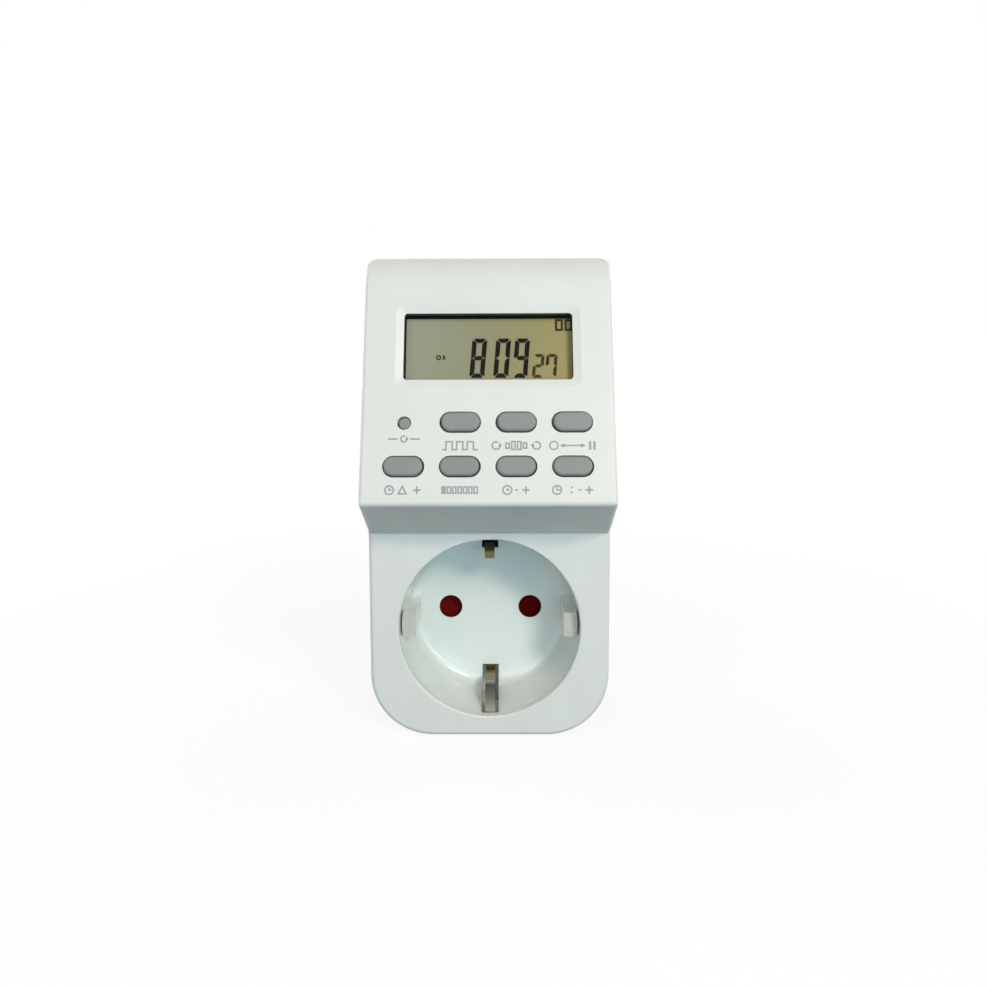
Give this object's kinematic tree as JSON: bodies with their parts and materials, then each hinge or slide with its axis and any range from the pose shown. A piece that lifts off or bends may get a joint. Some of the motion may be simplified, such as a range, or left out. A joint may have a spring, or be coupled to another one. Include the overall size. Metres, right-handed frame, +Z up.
{
  "type": "plug-in timer switch",
  "caption": "Plug-in digital timer switch: round side-earth plug behind, matching socket with pin shutter in front, sloping hood with display and press keys.",
  "frame": {"origin": "midway between the two plug pins, in the flat end face of the round plug that meets the wall socket's floor", "axes": "+Y along the plug pins towards the wall, +Z up towards the hood and display, +X to the right seen from the front"},
  "size_m": [0.0536, 0.0773, 0.1072],
  "materials": {
    "housing": "fine satin, off-white moulded plastic",
    "socket": "glossy white moulded plastic",
    "shutter": "satin dark red plastic",
    "spring_steel": "bright spring steel",
    "screw_steel": "zinc plated steel",
    "brass": "satin brass strip",
    "copper": "satin copper strip",
    "pin_nickel": "nickel plated, polished",
    "carrier": "matt cream plastic",
    "window": "clear polished plastic",
    "lcd": "greenish tan liquid crystal cell",
    "holder": "matt white plastic",
    "contact_strip": "striped conductive rubber",
    "key": "matt grey plastic",
    "mat": "grey silicone rubber",
    "board": "green board lacquer",
    "power_board": "olive board lacquer",
    "chip": "matt black epoxy",
    "crystal": "drawn steel can",
    "cell": "shrunk green sleeve",
    "relay": "blue moulded cover",
    "film_capacitor": "yellow moulded box",
    "capacitor_sleeve": "shrunk dark blue sleeve",
    "varistor": "blue dipped epoxy",
    "resistor": "tan lacquer",
    "cable": "grey flat cable"
  },
  "bodies": {
    "housing": {"front_housing": "housing", "rear_housing": "housing", "socket_cup": "socket", "shutter_spring": "spring_steel", "earth_clip_strap": "brass", "plug_earth_strap": "brass", "contact_carrier": "carrier", "live_contact": "brass", "neutral_contact": "brass", "live_pin": "pin_nickel", "neutral_pin": "pin_nickel", "live_busbar": "copper", "neutral_busbar": "copper", "load_busbar": "copper", "display_window": "window", "display_cell": "lcd", "display_holder": "holder", "contact_rubber": "contact_strip", "key_mat": "mat", "control_board": "board", "controller_chip": "chip", "clock_crystal": "crystal", "backup_cell": "cell", "power_board": "power_board", "relay": "relay", "film_capacitor": "film_capacitor", "smoothing_capacitor": "capacitor_sleeve", "varistor": "varistor", "power_resistor": "resistor", "rectifier": "chip", "ribbon_cable": "cable", "housing_screws": "screw_steel", "board_screws": "screw_steel"},
    "program_key": {"key_program": "key"},
    "recall_key": {"key_recall": "key"},
    "manual_key": {"key_manual": "key"},
    "clock_key": {"key_clock": "key"},
    "week_key": {"key_week": "key"},
    "hour_key": {"key_hour": "key"},
    "minute_key": {"key_minute": "key"},
    "reset_pusher": {"reset_button": "key"},
    "pin_shutter": {"shutter": "shutter"}
  },
  "joints": [
    {"name": "program_press", "type": "slide", "parent": "housing", "child": "program_key", "axis": [0, 0.9342, -0.3567], "range_m": [0, 0.0006], "stiffness_N_per_m": 800, "springref_m": -0.0015},
    {"name": "recall_press", "type": "slide", "parent": "housing", "child": "recall_key", "axis": [0, 0.9342, -0.3567], "range_m": [0, 0.0006], "stiffness_N_per_m": 800, "springref_m": -0.0015},
    {"name": "manual_press", "type": "slide", "parent": "housing", "child": "manual_key", "axis": [0, 0.9342, -0.3567], "range_m": [0, 0.0006], "stiffness_N_per_m": 800, "springref_m": -0.0015},
    {"name": "clock_press", "type": "slide", "parent": "housing", "child": "clock_key", "axis": [0, 0.9342, -0.3567], "range_m": [0, 0.0006], "stiffness_N_per_m": 800, "springref_m": -0.0015},
    {"name": "week_press", "type": "slide", "parent": "housing", "child": "week_key", "axis": [0, 0.9342, -0.3567], "range_m": [0, 0.0006], "stiffness_N_per_m": 800, "springref_m": -0.0015},
    {"name": "hour_press", "type": "slide", "parent": "housing", "child": "hour_key", "axis": [0, 0.9342, -0.3567], "range_m": [0, 0.0006], "stiffness_N_per_m": 800, "springref_m": -0.0015},
    {"name": "minute_press", "type": "slide", "parent": "housing", "child": "minute_key", "axis": [0, 0.9342, -0.3567], "range_m": [0, 0.0006], "stiffness_N_per_m": 800, "springref_m": -0.0015},
    {"name": "reset_press", "type": "slide", "parent": "housing", "child": "reset_pusher", "axis": [0, 0.9342, -0.3567], "range_m": [0, 0.0005], "stiffness_N_per_m": 800, "springref_m": -0.0015},
    {"name": "shutter_turn", "type": "hinge", "parent": "housing", "child": "pin_shutter", "pos_m": [0, -0.0219, 0], "axis": [0, -1, 0], "range_deg": [0, 42], "stiffness_Nm_per_rad": 0.002, "springref_deg": -20.05}
  ]
}
